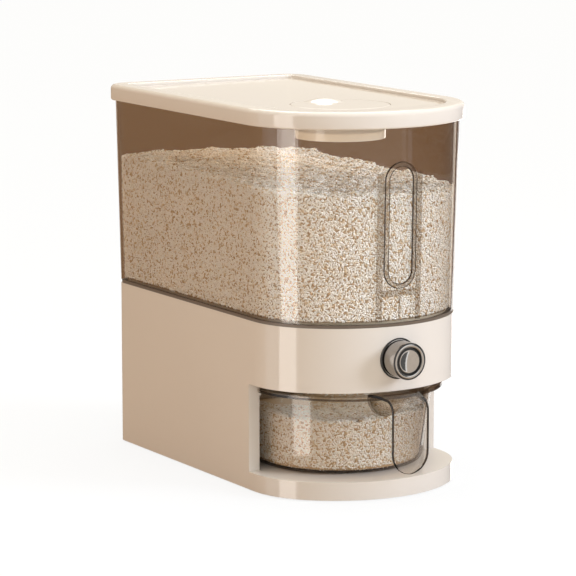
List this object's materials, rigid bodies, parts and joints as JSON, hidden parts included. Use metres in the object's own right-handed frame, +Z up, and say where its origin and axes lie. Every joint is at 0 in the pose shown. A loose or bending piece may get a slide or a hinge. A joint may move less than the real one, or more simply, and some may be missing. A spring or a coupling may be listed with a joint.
{
  "type": "rice dispenser with drawer",
  "caption": "Free-standing rice dispenser: clear tank with lift-off lid, push button that opens a gate, and a clear pull-out cup below.",
  "frame": {"origin": "middle of the footprint's box, at the surface it stands on", "axes": "+Z up, -Y towards the button, +X to the right seen from the front"},
  "size_m": [0.205, 0.36, 0.33],
  "materials": {
    "cream_plastic": "satin gloss, warm cream",
    "clear_plastic": "smoky brown transparent plastic, polished",
    "white_plastic": "moulded, fine satin",
    "dark_plastic": "black gloss",
    "chrome": "plated, polished",
    "steel": "zinc plated",
    "soft_seal": "soft matte",
    "rubber_foot": "matte",
    "sachet_cloth": "non-woven paper cloth"
  },
  "bodies": {
    "housing": {"base_shell": "cream_plastic", "bottom_cover": "cream_plastic", "bottom_screws": "steel", "funnel": "white_plastic", "funnel_screws": "steel", "gate_guide": "white_plastic", "guide_screws": "steel", "button_sleeve": "dark_plastic", "rail_left": "white_plastic", "rail_right": "white_plastic", "tank": "clear_plastic", "tank_seal": "soft_seal", "foot_front_left": "rubber_foot", "foot_front_right": "rubber_foot", "foot_back_left": "rubber_foot", "foot_back_right": "rubber_foot"},
    "button": {"button_cap": "chrome", "button_insert": "chrome", "push_rod": "white_plastic", "retaining_clip": "steel", "return_spring": "steel", "slide_gate": "white_plastic"},
    "cup": {"cup": "clear_plastic", "cup_handle": "clear_plastic"},
    "lid": {"lid": "cream_plastic", "lid_gasket": "soft_seal"},
    "moisture_unit": {"moisture_knob": "cream_plastic", "moisture_box": "cream_plastic", "moisture_grille": "cream_plastic", "moisture_sachet": "sachet_cloth", "moisture_oring": "soft_seal"}
  },
  "joints": [
    {"name": "cup_pull", "type": "slide", "parent": "housing", "child": "cup", "axis": [0, -1, 0], "range_m": [0, 0.16]},
    {"name": "button_press", "type": "slide", "parent": "housing", "child": "button", "axis": [0, 1, 0], "range_m": [0, 0.012], "stiffness_N_per_m": 350, "springref_m": -0.006, "deforming": ["return_spring"]},
    {"name": "lid_lift", "type": "slide", "parent": "housing", "child": "lid", "axis": [0, 0, 1], "range_m": [0, 0.12]},
    {"name": "moisture_twist", "type": "hinge", "parent": "lid", "child": "moisture_unit", "pos_m": [0, -0.065, 0.3], "axis": [0, 0, 1], "range_deg": [0, 60]}
  ]
}
